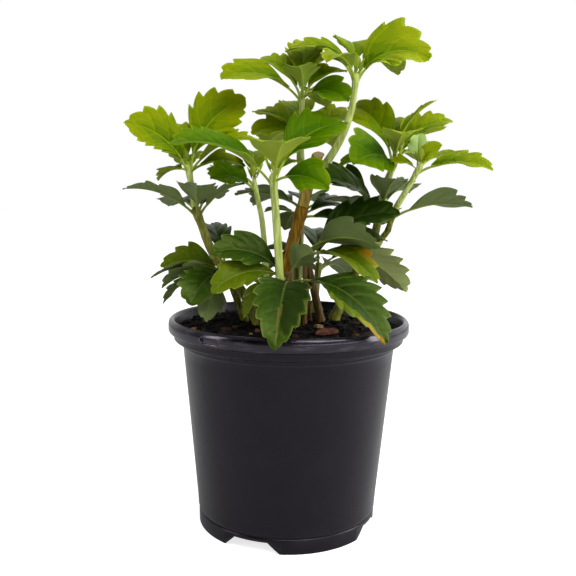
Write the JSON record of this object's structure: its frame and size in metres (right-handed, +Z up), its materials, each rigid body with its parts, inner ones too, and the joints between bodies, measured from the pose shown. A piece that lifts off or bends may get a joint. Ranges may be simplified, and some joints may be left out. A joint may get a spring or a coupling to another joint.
{
  "type": "potted japanese spurge",
  "caption": "Young Japanese spurge with toothed evergreen leaves in whorls, growing in a round black nursery pot filled with bark potting mix.",
  "frame": {"origin": "middle of the underside of the bounding box, on the ground the pot stands on; the pot's axis is a few millimetres from it", "axes": "+Z up, along the pot's axis and the plant's height; -Y towards the viewer of the picture; +X to that viewer's right"},
  "size_m": [0.203, 0.1684, 0.2941],
  "materials": {
    "pot_plastic": "satin, near black, faintly scuffed",
    "bark_mix": "rough dark bark and peat",
    "old_stem": "matte, olive to orange brown",
    "young_stem": "smooth, pale yellow green",
    "young_leaf": "satin, bright yellow green",
    "old_leaf": "glossy, dark green, paler below"
  },
  "bodies": {
    "root": {"pot": "pot_plastic", "potting_mix": "bark_mix", "main_stem": "old_stem", "main_upper_stem": "old_stem", "left_stem": "old_stem", "right_stem": "old_stem", "far_right_stem": "old_stem", "back_stem": "old_stem", "base_front_stem": "old_stem", "base_left_stem": "old_stem", "base_right_stem": "old_stem", "base_back_stem": "old_stem", "base_middle_stem": "old_stem", "top_branch": "young_stem", "upper_left_branch": "young_stem", "left_upper_stem": "young_stem", "front_stem": "young_stem", "thin_stem": "young_stem", "right_upper_stem": "young_stem", "far_right_upper_stem": "young_stem", "back_upper_stem": "young_stem", "top_leaves": "young_leaf", "upper_left_leaves": "young_leaf", "left_crown_leaves": "young_leaf", "front_crown_leaves": "young_leaf", "thin_crown_leaves": "young_leaf", "right_crown_leaves": "young_leaf", "far_right_crown_leaves": "young_leaf", "back_crown_leaves": "young_leaf", "left_middle_leaves": "old_leaf", "right_middle_leaves": "old_leaf", "far_right_middle_leaves": "old_leaf", "main_middle_leaves": "old_leaf", "back_middle_leaves": "old_leaf", "base_front_leaves": "old_leaf", "base_right_leaves": "old_leaf", "base_left_leaves": "old_leaf", "base_back_leaves": "old_leaf", "base_middle_leaves": "old_leaf"}
  },
  "joints": []
}
